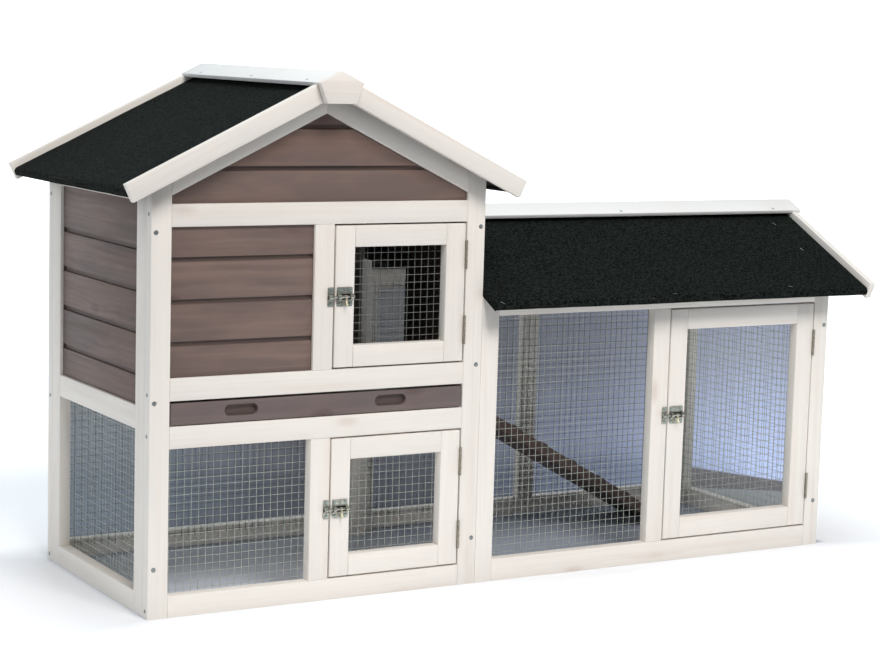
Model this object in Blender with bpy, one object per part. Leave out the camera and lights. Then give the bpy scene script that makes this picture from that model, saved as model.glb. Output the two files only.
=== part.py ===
"""Rabbit hutch: a two-storey gabled house with a lower, mesh-sided run beside it.

Metres, +Z up, the front faces -Y. Everything is laid out from the front left bottom corner of the
house, X along the front and Y into the depth, and hangs from one empty that puts the model's
origin under the middle of the whole hutch.
"""

import math

import bmesh
import bpy
from mathutils import Matrix, Vector

# Plan
DEPTH = 0.450            # front face to rear face of both frames
HOUSE_W = 0.600          # the house, from X = 0
RUN_END = 1.350          # right-hand face of the run
BOARD = 0.020            # thickness of every frame board
STILE = 0.034            # width of an upright
POST_L = 0.2825          # left edge of the house's door post
DOORWAY_L = 0.3175       # house doorways, both storeys
DOORWAY_R = 0.565
RUN_POST = 0.957         # left edge of the run's door post
RUN_DOORWAY = (0.991, 1.318)
SIDE_L = 0.058           # window span of the side frames along Y
SIDE_R = 0.393

# Levels of the rails
SILL = 0.035             # top of the house's bottom rails
RUN_SILL = 0.038         # the same on the run's front
SLOT = (0.3065, 0.347)   # tray slot in the house front
LOWER_TOP = 0.271        # top of the lower doorway
UPPER_SILL = 0.383
UPPER_TOP = 0.620
PLATE = 0.6555           # top of the house's top rail
SIDE_RAIL = (0.297, 0.334)
RUN_TOP = (0.459, 0.4935)

# Roofs: each is laid out from the ridge line of its underside, s down the slope, h square to it
PITCH = math.radians(25.8)
SIN, COS, TAN = math.sin(PITCH), math.cos(PITCH), math.tan(PITCH)
HOUSE_RIDGE = (HOUSE_W / 2, 0.8374)
RUN_RIDGE = (DEPTH / 2, 0.6029)
HOUSE_SLOPE = 0.3867     # ridge to eave
RUN_SLOPE = 0.2946
HOUSE_ROOF = (-0.037, 0.495)
RUN_ROOF = (0.602, 1.418)
ROOF_BOARD = 0.0087
FELT = 0.0020
FELT_LIP = 0.015         # felt turned under at the eaves
BARGE = 0.012            # thickness of the barge boards
BARGE_H = (-0.0089, 0.0220)
BARGE_NOTCH = 0.0181     # top of a barge board where it runs under the cap
CAP_H = (0.0184, 0.0254)
CAP_S = 0.0315
RUN_CAP_END = 1.428
BLOCK_FRONT = -0.050     # the block that closes the house cap's front end
BLOCK_FOOT = (0.026, 0.8138)  # half width and height of its lower edge
RAFTER = 0.0401          # rafter depth, measured straight down

# Small fits
GAP = 0.0003             # between pieces that touch
PLAY = 0.002             # round a door
MESH = 0.001             # thickness of the plate that stands for the wire mesh
LAP = 0.0125             # mesh stapled over the frame's inner face
SIDING = (0.005, 0.015)  # siding, measured in from the frame's outer face
BOARD_PITCH = 0.0662     # one siding board
GROOVE = (0.004, 0.0025)  # width and depth of a board joint
FRONT_JOINT = 0.569      # highest board joint of the front, the sides and the gables
SIDE_JOINT = 0.584
GABLE_JOINT = 0.7760
SPARE = 0.010            # how far a cutter runs past what it cuts

# Doors, latches and hinges
DOOR_RAIL = 0.036
RUN_DOOR_RAIL = 0.037
HINGE_Y = -0.0026        # pin line, in front of the frames
HINGE_R = 0.0022
HINGE_LENGTH = 0.048
HINGE_LEAF = (0.0014, 0.014)  # thickness, and how far it reaches into the gap
KEEPER_W = 0.011
LATCH_X = (0.0035, 0.032)  # the latch plate, measured from the door's left edge
LATCH_H = 0.031
PLATE_T = 0.0012
STRAP_W = 0.0055
STRAP_H = 0.011
STRAP_FRONT = -0.0095
ROD_Y = -0.0052
ROD_R = 0.0024
BORE_R = 0.0029
BOLT_REST = 0.004        # the bolt's end, left of the doorway's edge
FINGER_X = 0.018         # the bolt's finger, measured from the door's left edge
FINGER_DROP = 0.0125
FINGER_R = 0.0015
FINGERTIP_R = 0.0026

# Floor, tray and ramp
FLOOR = (0.297, 0.3062)
TRAY_FRONT = (0.001, 0.016)
TRAY_BACK = 0.425
TRAY_PLAY = 0.0015
TRAY_Z = (0.307, 0.331)
TRAY_WALL = 0.0012
FINGER_SLOTS = (0.158, 0.4285)
FINGER_SLOT = (0.058, 0.018, 0.009)  # length, height, and depth from the frame's face
WALL_DOOR = (0.240, 0.5175)   # doorway in the right wall: front edge, top edge
RAMP_Y = (0.243, 0.391)
RAMP_TOP = (0.6013, 0.343)
RAMP_FOOT = (1.208, 0.001)
RAMP_T = 0.019
RAMP_HINGE = (0.602, 0.341)
CLEATS = 9
CLEAT = (0.012, 0.004)   # width and height
CLEAT_INSET = 0.014      # from each edge of the ramp

WHITE = ("whitewashed_wood", (0.80, 0.77, 0.72), 0.75, 0.0)
STAIN = ("stained_board", (0.19, 0.14, 0.125), 0.75, 0.0)
PLY = ("plain_board", (0.45, 0.33, 0.22), 0.80, 0.0)
DARK_PLY = ("roof_board", (0.030, 0.027, 0.025), 0.85, 0.0)
FELT_LOOK = ("roofing_felt", (0.012, 0.015, 0.014), 0.95, 0.0)
WIRE = ("galvanised_wire", (0.55, 0.56, 0.55), 0.40, 0.9)
ZINC = ("zinc_fittings", (0.60, 0.60, 0.56), 0.35, 1.0)
SHEET = ("galvanised_sheet", (0.52, 0.54, 0.55), 0.45, 0.9)


# ------------------------------------------------------------------ scene and helpers
def empty_scene():
    """Clears the scene and makes the two collections."""
    for thing in list(bpy.data.objects):
        bpy.data.objects.remove(thing)
    made = {}
    for name in ("rabbit_hutch", "cutters"):
        made[name] = bpy.data.collections.new(name)
        bpy.context.scene.collection.children.link(made[name])
    made["cutters"].hide_render = True
    return made["rabbit_hutch"], made["cutters"]


PARTS, CUTTERS = empty_scene()


def material(look):
    """The material of one finish, made the first time that it is asked for."""
    name, colour, roughness, metallic = look
    if name in bpy.data.materials:
        return bpy.data.materials[name]
    made = bpy.data.materials.new(name)
    made.use_nodes = True
    shader = made.node_tree.nodes["Principled BSDF"]
    shader.inputs["Base Color"].default_value = (*colour, 1.0)
    shader.inputs["Roughness"].default_value = roughness
    shader.inputs["Metallic"].default_value = metallic
    return made


def pivot(name, place, parent=None):
    """An empty that pieces hang from; its own place is on their joint's axis."""
    made = bpy.data.objects.new(name, None)
    PARTS.objects.link(made)
    made.parent = parent
    made.location = place
    return made


def hang(piece, parent):
    """Parents a piece that was placed from the house corner."""
    piece.parent = parent
    if parent is not HUTCH:
        piece.location -= parent.location
    return piece


def mesh_piece(name, shape, look, parent, cutter=False):
    """A mesh object from a bmesh; a cutter is a wire-frame helper that doesn't render."""
    data = bpy.data.meshes.new(name)
    shape.to_mesh(data)
    shape.free()
    piece = bpy.data.objects.new(name, data)
    if cutter:
        CUTTERS.objects.link(piece)
        piece.hide_render = True
        piece.display_type = "WIRE"
    else:
        PARTS.objects.link(piece)
        data.materials.append(material(look))
    return hang(piece, parent)


def box(name, x, y, z, look, parent, cutter=False):
    """A block between pairs of coordinates."""
    shape = bmesh.new()
    bmesh.ops.create_cube(shape, size=1.0)
    size = Vector((x[1] - x[0], y[1] - y[0], z[1] - z[0]))
    middle = Vector((x[0] + x[1], y[0] + y[1], z[0] + z[1])) / 2
    bmesh.ops.transform(shape, matrix=Matrix.Diagonal(size).to_4x4(), verts=shape.verts)
    piece = mesh_piece(name, shape, look, parent, cutter)
    piece.location += middle
    return piece


def rod(name, start, end, radius, look, parent, cutter=False, sides=20):
    """A cylinder between two points."""
    start, end = Vector(start), Vector(end)
    turn = (end - start).to_track_quat("Z", "Y").to_matrix().to_4x4()
    shape = bmesh.new()
    bmesh.ops.create_cone(shape, cap_ends=True, segments=sides, radius1=radius, radius2=radius,
                          depth=(end - start).length, matrix=turn)
    piece = mesh_piece(name, shape, look, parent, cutter)
    piece.data.shade_smooth()
    piece.data.set_sharp_from_angle(angle=math.radians(40))
    piece.location += (start + end) / 2
    return piece


def slab(name, loops, span, normal, look, parent):
    """A flat plate: closed outlines in its plane, the inner ones holes, between span along normal.

    The plane's axes are X, Z for a plate facing Y; Y, Z for one facing X; X, Y for one facing Z.
    """
    data = bpy.data.curves.new(name, "CURVE")
    data.dimensions = "2D"
    data.fill_mode = "BOTH"
    data.extrude = (span[1] - span[0]) / 2
    for loop in loops:
        line = data.splines.new("POLY")
        line.points.add(len(loop) - 1)
        for point, (across, up) in zip(line.points, loop):
            point.co = (across, up, 0, 1)
        line.use_cyclic_u = True
    data.materials.append(material(look))
    piece = bpy.data.objects.new(name, data)
    PARTS.objects.link(piece)
    turns = {"Y": (math.pi / 2, 0, 0), "X": (math.pi / 2, 0, math.pi / 2), "Z": (0, 0, 0)}
    piece.rotation_euler = turns[normal]
    piece.location["XYZ".index(normal)] = sum(span) / 2
    return hang(piece, parent)


def meshed(piece, cutter=False):
    """The same plate as a welded mesh object, which a Boolean can cut."""
    bpy.context.view_layer.update()
    graph = bpy.context.evaluated_depsgraph_get()
    data = bpy.data.meshes.new_from_object(piece.evaluated_get(graph))
    shape = bmesh.new()
    shape.from_mesh(data)
    bmesh.ops.remove_doubles(shape, verts=shape.verts, dist=1e-6)
    shape.to_mesh(data)
    shape.free()
    name, parent = piece.name, piece.parent
    place, turn = piece.location.copy(), piece.rotation_euler.copy()
    bpy.data.objects.remove(piece)
    made = bpy.data.objects.new(name, data)
    (CUTTERS if cutter else PARTS).objects.link(made)
    made.hide_render = cutter
    made.display_type = "WIRE" if cutter else "TEXTURED"
    made.parent, made.location, made.rotation_euler = parent, place, turn
    return made


def combine(piece, other, operation="DIFFERENCE"):
    """Cuts a cutter out of a piece, or joins it on."""
    step = piece.modifiers.new(other.name, "BOOLEAN")
    step.operation = operation
    step.object = other


def rect(across, up):
    """A rectangular outline."""
    return [(across[0], up[0]), (across[1], up[0]), (across[1], up[1]), (across[0], up[1])]


def grown(span, by):
    """A span made longer at both ends."""
    return span[0] - by, span[1] + by


# ------------------------------------------------------------------ roof geometry
def on_slope(ridge, side, s, h):
    """A point of a roof's cross-section: side -1 or 1, s down the slope, h square to it."""
    return ridge[0] + side * (s * COS + h * SIN), ridge[1] - s * SIN + h * COS


def under_roof(ridge, across, drop=GAP):
    """Height of the roof's underside, less a drop."""
    return ridge[1] - abs(across - ridge[0]) * TAN - drop


def slope_layer(ridge, side, h, end):
    """One straight layer of a roof slope, mitred at the ridge."""
    start = GAP / 2 / COS
    return [on_slope(ridge, side, s, level) for s, level in
            ((start - h[0] * TAN, h[0]), (end, h[0]), (end, h[1]), (start - h[1] * TAN, h[1]))]


def barge_outline(ridge, side, slope):
    """A barge board's outline, notched under the ridge cap."""
    low, high = BARGE_H
    start, notch = GAP / 2 / COS, CAP_S + GAP
    return [on_slope(ridge, side, s, level) for s, level in
            ((start - low * TAN, low), (slope, low), (slope, high), (notch, high), (notch, BARGE_NOTCH),
             (start - BARGE_NOTCH * TAN, BARGE_NOTCH))]


def felt_outline(ridge, slope):
    """One felt sheet over the ridge, turned round and under both eaves."""
    inner, outer = ROOF_BOARD + GAP, ROOF_BOARD + GAP + FELT
    edge = slope - FELT
    half = [(edge, inner), (edge, -GAP), (edge - FELT_LIP, -GAP), (edge - FELT_LIP, -GAP - FELT),
            (slope, -GAP - FELT), (slope, outer)]
    right = [on_slope(ridge, 1, s, h) for s, h in half]
    left = [on_slope(ridge, -1, s, h) for s, h in reversed(half)]
    return [(ridge[0], ridge[1] + inner / COS), *right, (ridge[0], ridge[1] + outer / COS), *left]


def cap_outline(ridge):
    """The ridge cap: two narrow boards joined along the ridge."""
    right = [on_slope(ridge, 1, CAP_S, h) for h in CAP_H]
    left = [on_slope(ridge, -1, CAP_S, h) for h in reversed(CAP_H)]
    return [(ridge[0], ridge[1] + CAP_H[0] / COS), *right, (ridge[0], ridge[1] + CAP_H[1] / COS), *left]


def gable_outline(ridge, span, base):
    """A gable end from a base line up to the roof."""
    return [(span[0], base), (span[1], base), (span[1], under_roof(ridge, span[1])),
            (ridge[0], under_roof(ridge, ridge[0])), (span[0], under_roof(ridge, span[0]))]


def gable_window(ridge, span, base, inset=0.0):
    """The opening inside a gable's rafters, or the panel that fills it when inset is more than 0."""
    drop = RAFTER + inset / COS
    reach = min((ridge[1] - drop - base - inset) / TAN, (span[1] - span[0]) / 2 - inset)
    middle, foot = ridge[0], base + inset
    points = [(middle - reach, foot), (middle + reach, foot)]
    if under_roof(ridge, middle + reach, drop) > foot + 1e-4:
        points.append((middle + reach, under_roof(ridge, middle + reach, drop)))
    points.append((middle, under_roof(ridge, middle, drop)))
    if len(points) == 4:
        points.append((middle - reach, under_roof(ridge, middle - reach, drop)))
    return points


# ------------------------------------------------------------------ walls
def siding(name, loop, face, outward, normal, joints, parent):
    """Boards side by side: one panel with a groove at each joint, on its outer side."""
    near, far = face - outward * SIDING[0], face - outward * SIDING[1]
    panel = meshed(slab(name, [loop], (min(near, far), max(near, far)), normal, STAIN, parent))
    reach = [point[0] for point in loop]
    along = (min(reach) - SPARE, max(reach) + SPARE)
    across = sorted((near - outward * GROOVE[1], near + outward * SPARE))
    for number, level in enumerate(joints):
        height = (level - GROOVE[0] / 2, level + GROOVE[0] / 2)
        place = (along, across) if normal == "Y" else (across, along)
        combine(panel, box(f"{name}_groove_{number}", *place, height, STAIN, parent, cutter=True))


def joints_down(highest, bottom):
    """Heights of the board joints, from the highest one down."""
    count = int((highest - bottom) / BOARD_PITCH) + 1
    return [highest - BOARD_PITCH * number for number in range(count)]


def mesh_sheet(name, across, up, span, normal):
    """Welded mesh, stapled to the inside of a frame."""
    slab(name, [rect(across, up)], span, normal, WIRE, HUTCH)


def house_end(name, y, windows):
    """The front or rear frame of the house, with its rafters."""
    loops = [gable_outline(HOUSE_RIDGE, (0, HOUSE_W), 0), *windows]
    loops.append(gable_window(HOUSE_RIDGE, (STILE, HOUSE_W - STILE), PLATE))
    slab(name, loops, y, "Y", WHITE, HUTCH)


def house_front():
    window = ((STILE, POST_L), (SILL, LOWER_TOP))
    house_end("house_front_frame", (0, BOARD), [
        rect(*window),
        rect((DOORWAY_L, DOORWAY_R), (SILL, LOWER_TOP)),
        rect((STILE, DOORWAY_R), SLOT),
        rect((STILE, POST_L), (UPPER_SILL, UPPER_TOP)),
        rect((DOORWAY_L, DOORWAY_R), (UPPER_SILL, UPPER_TOP)),
    ])
    mesh_sheet("house_front_mesh", grown(window[0], LAP), grown(window[1], LAP),
               (BOARD + GAP, BOARD + GAP + MESH), "Y")
    boards = rect(grown((STILE, POST_L), -GAP), grown((UPPER_SILL, UPPER_TOP), -GAP))
    siding("house_front_siding", boards, 0, -1, "Y", joints_down(FRONT_JOINT, UPPER_SILL), HUTCH)


def house_rear():
    span = (STILE, HOUSE_W - STILE)
    house_end("house_rear_frame", (DEPTH - BOARD, DEPTH), [
        rect(span, (SILL, SIDE_RAIL[0])), rect(span, (SIDE_RAIL[1], UPPER_TOP))])
    mesh_sheet("house_rear_mesh", grown(span, LAP), (SILL - LAP, SIDE_RAIL[0] + LAP),
               (DEPTH - BOARD - GAP - MESH, DEPTH - BOARD - GAP), "Y")
    boards = rect(grown(span, -GAP), (SIDE_RAIL[1] + GAP, UPPER_TOP - GAP))
    siding("house_rear_siding", boards, DEPTH, 1, "Y", joints_down(SIDE_JOINT, SIDE_RAIL[1]), HUTCH)


def house_gables():
    for name, face, outward in (("house_front_gable", 0, -1), ("house_rear_gable", DEPTH, 1)):
        loop = gable_window(HOUSE_RIDGE, (STILE, HOUSE_W - STILE), PLATE, GAP)
        siding(name, loop, face, outward, "Y", joints_down(GABLE_JOINT, PLATE), HUTCH)


def house_sides():
    depth = (BOARD + GAP, DEPTH - BOARD - GAP)
    top = under_roof(HOUSE_RIDGE, 0)
    window = (SIDE_L, SIDE_R)
    upper = (SIDE_RAIL[1], PLATE)
    upright = grown(window, -GAP)
    wall = [rect(depth, (0, top)), rect(window, (SILL, SIDE_RAIL[0])), rect(window, upper)]
    slab("house_left_frame", wall, (0, BOARD), "X", WHITE, HUTCH)
    mesh_sheet("house_left_mesh", grown(window, LAP), (SILL - LAP, SIDE_RAIL[0] + LAP),
               (BOARD + GAP, BOARD + GAP + MESH), "X")
    joints = joints_down(SIDE_JOINT, SIDE_RAIL[1])
    siding("house_left_siding", rect(upright, grown(upper, -GAP)), 0, -1, "X", joints, HUTCH)

    # The lower half of the right side is the open way into the run, so its frame stands on two legs.
    arch = [(depth[0], 0), (window[0], 0), (window[0], SIDE_RAIL[0]), (window[1], SIDE_RAIL[0]),
            (window[1], 0), (depth[1], 0), (depth[1], top), (depth[0], top)]
    slab("house_right_frame", [arch, rect(window, upper)], (HOUSE_W - BOARD, HOUSE_W), "X", WHITE, HUTCH)
    low, high = upper[0] + GAP, upper[1] - GAP
    wall = [(upright[0], low), (WALL_DOOR[0], low), (WALL_DOOR[0], WALL_DOOR[1]),
            (upright[1], WALL_DOOR[1]), (upright[1], high), (upright[0], high)]
    siding("house_right_siding", wall, HOUSE_W, 1, "X", joints, HUTCH)


def run_walls():
    left = HOUSE_W + GAP
    window = (HOUSE_W + STILE, RUN_POST)
    opening = (RUN_SILL, RUN_TOP[0])
    slab("run_front_frame", [rect((left, RUN_END), (0, RUN_TOP[1])), rect(window, opening),
                             rect(RUN_DOORWAY, opening)], (0, BOARD), "Y", WHITE, HUTCH)
    mesh_sheet("run_front_mesh", grown(window, LAP), grown(opening, LAP),
               (BOARD + GAP, BOARD + GAP + MESH), "Y")

    rear = (DEPTH - BOARD, DEPTH)
    opening = (SILL, RUN_TOP[0])
    slab("run_rear_frame", [rect((left, RUN_END), (0, RUN_TOP[1])), rect(window, opening),
                            rect((RUN_POST + STILE, RUN_END - STILE), opening)], rear, "Y", WHITE, HUTCH)
    mesh_sheet("run_rear_mesh", (window[0] - LAP, RUN_END - STILE + LAP), grown(opening, LAP),
               (rear[0] - GAP - MESH, rear[0] - GAP), "Y")

    depth = (BOARD + GAP, DEPTH - BOARD - GAP)
    window = (SIDE_L, SIDE_R)
    end = (RUN_END - BOARD, RUN_END)
    slab("run_end_frame", [gable_outline(RUN_RIDGE, depth, 0), rect(window, opening),
                           gable_window(RUN_RIDGE, window, RUN_TOP[1])], end, "X", WHITE, HUTCH)
    mesh_sheet("run_end_mesh", grown(window, LAP), grown(opening, LAP),
               (end[0] - GAP - MESH, end[0] - GAP), "X")
    siding("run_end_gable", gable_window(RUN_RIDGE, window, RUN_TOP[1], GAP), RUN_END, 1, "X", (), HUTCH)


# ------------------------------------------------------------------ roofs
def roof(prefix, ridge, slope, span, normal, sides, ends):
    """Two boarded slopes under one felt sheet, with barge boards at the ends that have a name."""
    inner = (span[0] + (BARGE + GAP if ends[0] else 0), span[1] - BARGE - GAP)
    reaches = ((span[0], span[0] + BARGE), (span[1] - BARGE, span[1]))
    for side, name in zip((-1, 1), sides):
        loop = slope_layer(ridge, side, (0, ROOF_BOARD), slope - FELT - GAP)
        slab(f"{prefix}_roof_{name}", [loop], inner, normal, DARK_PLY, HUTCH)
        loop = barge_outline(ridge, side, slope)
        for end, reach in zip(ends, reaches):
            if end:
                slab(f"{prefix}_barge_{end}_{name}", [loop], reach, normal, WHITE, HUTCH)
    slab(f"{prefix}_felt", [felt_outline(ridge, slope)], inner, normal, FELT_LOOK, HUTCH)


def ridge_caps():
    slab("house_ridge_cap", [cap_outline(HOUSE_RIDGE)], HOUSE_ROOF, "Y", WHITE, HUTCH)
    slab("run_ridge_cap", [cap_outline(RUN_RIDGE)], (RUN_ROOF[0], RUN_CAP_END), "X", WHITE, HUTCH)
    middle, base = HOUSE_RIDGE
    apex = base + CAP_H[1] / COS
    shoulder = on_slope(HOUSE_RIDGE, 1, CAP_S, CAP_H[1])
    half, foot = BLOCK_FOOT
    block = [(middle - half, foot), (middle + half, foot), shoulder, (middle, apex),
             (2 * middle - shoulder[0], shoulder[1])]
    slab("ridge_end_block", [block], (BLOCK_FRONT, HOUSE_ROOF[0] - GAP), "Y", WHITE, HUTCH)


# ------------------------------------------------------------------ doors
def strapped_plate(name, x, straps, height, parent):
    """A latch plate with raised straps that guide the bolt."""
    z = (height - LATCH_H / 2, height + LATCH_H / 2)
    plate = box(name, x, (-GAP - PLATE_T, -GAP), z, ZINC, parent)
    for number, strap in enumerate(straps):
        raised = box(f"{name}_strap_{number}", strap, (STRAP_FRONT, -GAP - PLATE_T / 2),
                     (height - STRAP_H / 2, height + STRAP_H / 2), ZINC, parent, cutter=True)
        combine(plate, raised, "UNION")
    bore = rod(f"{name}_bore", (x[0] - SPARE, ROD_Y, height), (x[1] + SPARE, ROD_Y, height), BORE_R,
               ZINC, parent, cutter=True)
    combine(plate, bore)


def latch(name, edge, post, height, door):
    """A barrel bolt: its keeper on the post, its plate and bolt on the door."""
    keeper = (post - KEEPER_W, post)
    strapped_plate(f"{name}_keeper", keeper, [(keeper[0], keeper[0] + STRAP_W)], height, HUTCH)
    plate = (edge + LATCH_X[0], edge + LATCH_X[1])
    straps = [(plate[0], plate[0] + STRAP_W), (plate[1] - STRAP_W, plate[1])]
    strapped_plate(f"{name}_latch_plate", plate, straps, height, door)
    bolt = rod(f"{name}_bolt", (post - BOLT_REST, ROD_Y, height), (plate[1] + PLAY, ROD_Y, height), ROD_R,
               ZINC, door)
    root = Vector((edge + FINGER_X, ROD_Y, height))
    tip = root + Vector((0, -ROD_R, -FINGER_DROP))
    finger = rod(f"{name}_finger", root, tip, FINGER_R, ZINC, door, cutter=True, sides=12)
    ball = bmesh.new()
    bmesh.ops.create_uvsphere(ball, u_segments=12, v_segments=8, radius=FINGERTIP_R)
    knob = mesh_piece(f"{name}_fingertip", ball, ZINC, door, cutter=True)
    knob.location += tip
    combine(bolt, finger, "UNION")
    combine(bolt, knob, "UNION")


def hinge(name, axis_x, height, door):
    """A butt hinge: the knuckle in front of the gap and the leaf in it."""
    z = (height - HINGE_LENGTH / 2, height + HINGE_LENGTH / 2)
    barrel = rod(name, (axis_x, HINGE_Y, z[0]), (axis_x, HINGE_Y, z[1]), HINGE_R, ZINC, door)
    thick, reach = HINGE_LEAF
    leaf = box(f"{name}_leaf", (axis_x - thick / 2, axis_x + thick / 2), (HINGE_Y, reach),
               grown(z, -PLAY / 2), ZINC, door, cutter=True)
    combine(barrel, leaf, "UNION")


def door(name, doorway, z, rail, latch_height, hinge_heights):
    """An inset mesh door hung on its right-hand edge."""
    left, right = doorway[0] + PLAY, doorway[1] - PLAY
    bottom, top = z[0] + PLAY, z[1] - PLAY
    axis_x = doorway[1] - PLAY / 2
    door_pivot = pivot(f"{name}_door_hinge", (axis_x, HINGE_Y, (bottom + top) / 2), HUTCH)
    window = ((left + rail, right - rail), (bottom + rail, top - rail))
    slab(f"{name}_door_frame", [rect((left, right), (bottom, top)), rect(*window)], (0, BOARD), "Y",
         WHITE, door_pivot)
    slab(f"{name}_door_mesh", [rect(grown(window[0], LAP), grown(window[1], LAP))],
         (BOARD + GAP, BOARD + GAP + MESH), "Y", WIRE, door_pivot)
    for end, height in zip(("bottom", "top"), hinge_heights):
        hinge(f"{name}_hinge_{end}", axis_x, height, door_pivot)
    latch(name, left, doorway[0], latch_height, door_pivot)


def doors():
    house = (DOORWAY_L, DOORWAY_R)
    door("lower", house, (SILL, LOWER_TOP), DOOR_RAIL, 0.152, (0.0885, 0.2145))
    door("upper", house, (UPPER_SILL, UPPER_TOP), DOOR_RAIL, 0.502, (0.4385, 0.565))
    door("run", RUN_DOORWAY, (RUN_SILL, RUN_TOP[0]), RUN_DOOR_RAIL, 0.267, (0.114, 0.3835))


# ------------------------------------------------------------------ floor, tray and ramp
def capsule(middle, height, length, width, steps=8):
    """A slot outline with round ends."""
    radius = width / 2
    points = []
    for centre, start in ((middle + length / 2 - radius, -90), (middle - length / 2 + radius, 90)):
        for step in range(steps + 1):
            angle = math.radians(start + 180 * step / steps)
            points.append((centre + radius * math.cos(angle), height + radius * math.sin(angle)))
    return points


def floor_and_tray():
    inside = BOARD + GAP + MESH + GAP
    box("house_floor", (inside, HOUSE_W - inside), (inside, DEPTH - inside), FLOOR, PLY, HUTCH)
    tray = pivot("tray_slide", (HOUSE_W / 2, 0, TRAY_Z[0]), HUTCH)
    x = (STILE + PLAY, DOORWAY_R - PLAY)
    face = rect(x, grown(SLOT, -TRAY_PLAY))
    front = meshed(slab("tray_front", [face], TRAY_FRONT, "Y", STAIN, tray))
    length, width, depth = FINGER_SLOT
    for number, middle in enumerate(FINGER_SLOTS):
        outline = capsule(middle, sum(SLOT) / 2, length, width)
        recess = slab(f"finger_recess_{number}", [outline], (-SPARE, depth), "Y", STAIN, tray)
        combine(front, meshed(recess, cutter=True))
    y = (TRAY_FRONT[1] + GAP, TRAY_BACK)
    pan = box("tray_pan", x, y, TRAY_Z, SHEET, tray)
    hollow = box("tray_hollow", grown(x, -TRAY_WALL), grown(y, -TRAY_WALL),
                 (TRAY_Z[0] + TRAY_WALL, TRAY_Z[1] + SPARE), SHEET, tray, cutter=True)
    combine(pan, hollow)


def ramp():
    """A sloping board with cleats, hinged at its top edge outside the right wall's doorway."""
    fall = (RAMP_TOP[1] - RAMP_FOOT[1]) / (RAMP_FOOT[0] - RAMP_TOP[0])
    slant = math.atan(fall)
    drop = RAMP_T / math.cos(slant)
    top_hinge = pivot("ramp_hinge", (RAMP_HINGE[0], sum(RAMP_Y) / 2, RAMP_HINGE[1]), HUTCH)
    side = [RAMP_TOP, RAMP_FOOT, (RAMP_FOOT[0] - drop / fall, RAMP_FOOT[1]),
            (RAMP_TOP[0], RAMP_TOP[1] - drop)]
    board = meshed(slab("ramp", [side], RAMP_Y, "Y", STAIN, top_hinge))
    length = (RAMP_FOOT[0] - RAMP_TOP[0]) / math.cos(slant)
    width, height = CLEAT
    for number in range(CLEATS):
        along = length * (number + 0.7) / (CLEATS + 0.4)
        cleat = box(f"cleat_{number}", (-width / 2, width / 2), grown(RAMP_Y, -CLEAT_INSET),
                    (-height, height), STAIN, top_hinge, cutter=True)
        cleat.rotation_euler.y = slant
        cleat.location.x += RAMP_TOP[0] + along * math.cos(slant)
        cleat.location.z += RAMP_TOP[1] - along * math.sin(slant)
        combine(board, cleat, "UNION")


# ------------------------------------------------------------------ the whole hutch
def hutch_origin():
    """The empty that holds everything, placed so that the origin lies under the hutch's middle."""
    tip = on_slope(HOUSE_RIDGE, -1, HOUSE_SLOPE, BARGE_H[1])[0]
    rear = on_slope(RUN_RIDGE, 1, RUN_SLOPE, BARGE_H[1])[0]
    return pivot("hutch_origin", (-(tip + RUN_CAP_END) / 2, -(BLOCK_FRONT + rear) / 2, 0))


HUTCH = hutch_origin()
house_front()
house_rear()
house_gables()
house_sides()
run_walls()
roof("house", HOUSE_RIDGE, HOUSE_SLOPE, HOUSE_ROOF, "Y", ("left", "right"), ("front", "rear"))
roof("run", RUN_RIDGE, RUN_SLOPE, RUN_ROOF, "X", ("front", "rear"), ("", "end"))
ridge_caps()
doors()
floor_and_tray()
ramp()
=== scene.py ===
"""Looks of the rabbit hutch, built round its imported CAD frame.

Metres. Shapes are laid out from the house's front left bottom corner, X along the front, Y into the
depth and Z up, as in the CAD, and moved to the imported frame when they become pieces.
"""

import math
import random

import bmesh
import bpy
from mathutils import Matrix, Vector, noise


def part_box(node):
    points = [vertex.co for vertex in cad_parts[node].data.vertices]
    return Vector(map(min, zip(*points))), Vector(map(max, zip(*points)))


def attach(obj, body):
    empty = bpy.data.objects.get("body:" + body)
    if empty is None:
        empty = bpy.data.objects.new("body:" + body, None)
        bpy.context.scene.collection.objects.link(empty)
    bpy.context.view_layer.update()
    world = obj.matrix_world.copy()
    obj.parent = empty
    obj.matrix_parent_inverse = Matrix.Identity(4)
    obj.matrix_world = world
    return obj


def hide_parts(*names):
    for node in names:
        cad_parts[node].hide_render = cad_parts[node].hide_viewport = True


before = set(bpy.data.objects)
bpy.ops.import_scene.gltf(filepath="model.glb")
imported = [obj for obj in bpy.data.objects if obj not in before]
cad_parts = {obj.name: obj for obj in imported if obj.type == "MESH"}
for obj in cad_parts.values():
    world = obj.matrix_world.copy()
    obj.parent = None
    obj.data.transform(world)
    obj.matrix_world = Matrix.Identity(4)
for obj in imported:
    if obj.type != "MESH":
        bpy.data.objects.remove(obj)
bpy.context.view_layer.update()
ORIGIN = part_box("house_front_frame")[0]
dice = random.Random(11)

# Plan and levels of the frames, as in the CAD
DEPTH, HOUSE_W, RUN_END, BOARD = 0.450, 0.600, 1.350, 0.020
STILE, POST, DOORWAY = 0.034, (0.2825, 0.3175), (0.3175, 0.565)
RUN_POST, RUN_DOORWAY = (0.957, 0.991), (0.991, 1.318)
SIDE = (0.058, 0.393)    # window span of the side frames along Y
SILL, RUN_SILL, LOWER_TOP, SLOT = 0.035, 0.038, 0.271, (0.3065, 0.347)
UPPER_SILL, UPPER_TOP, PLATE = 0.383, 0.620, 0.6555
SIDE_RAIL, RUN_TOP = (0.297, 0.334), (0.459, 0.4935)
CLEAR = 0.0040           # the rear bottom rails stand this far off the ground
EAVE_RAIL = 0.6575       # underside of the side frames' top rail
WALL_DOORWAY = (0.240, 0.5175)  # near edge and top of the doorway in the right wall

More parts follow.
